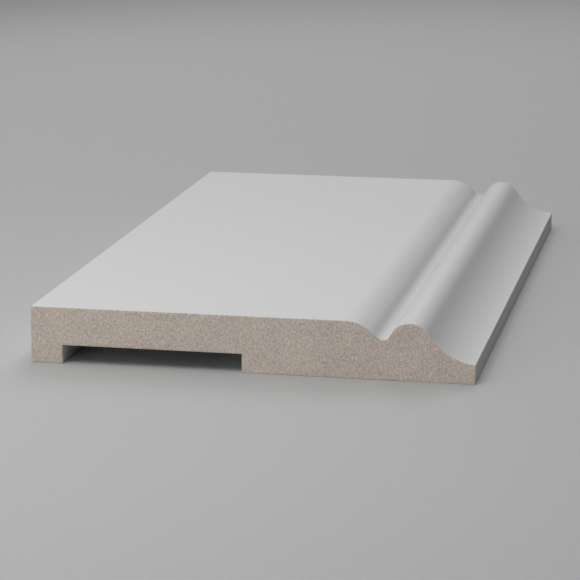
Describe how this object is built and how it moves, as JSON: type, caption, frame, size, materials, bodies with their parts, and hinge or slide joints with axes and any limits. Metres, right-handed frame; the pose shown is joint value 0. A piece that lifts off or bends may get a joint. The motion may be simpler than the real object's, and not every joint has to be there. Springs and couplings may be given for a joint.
{
  "type": "skirting board",
  "caption": "Short length of primed skirting board with an ovolo, groove, bead and cove along its top edge and a shallow cable channel in its back, sawn square at its ends.",
  "frame": {"origin": "in the plane of the back, under the middle of the board", "axes": "+X across the board from its floor edge to its moulded top edge, +Y along its length, +Z from its back to its face"},
  "size_m": [0.14, 0.25, 0.018],
  "materials": {
    "primed_mdf": "matt white primer on all long faces, bare sawn fibreboard at both cut ends"
  },
  "bodies": {
    "root": {"skirting_board": "primed_mdf"}
  },
  "joints": []
}
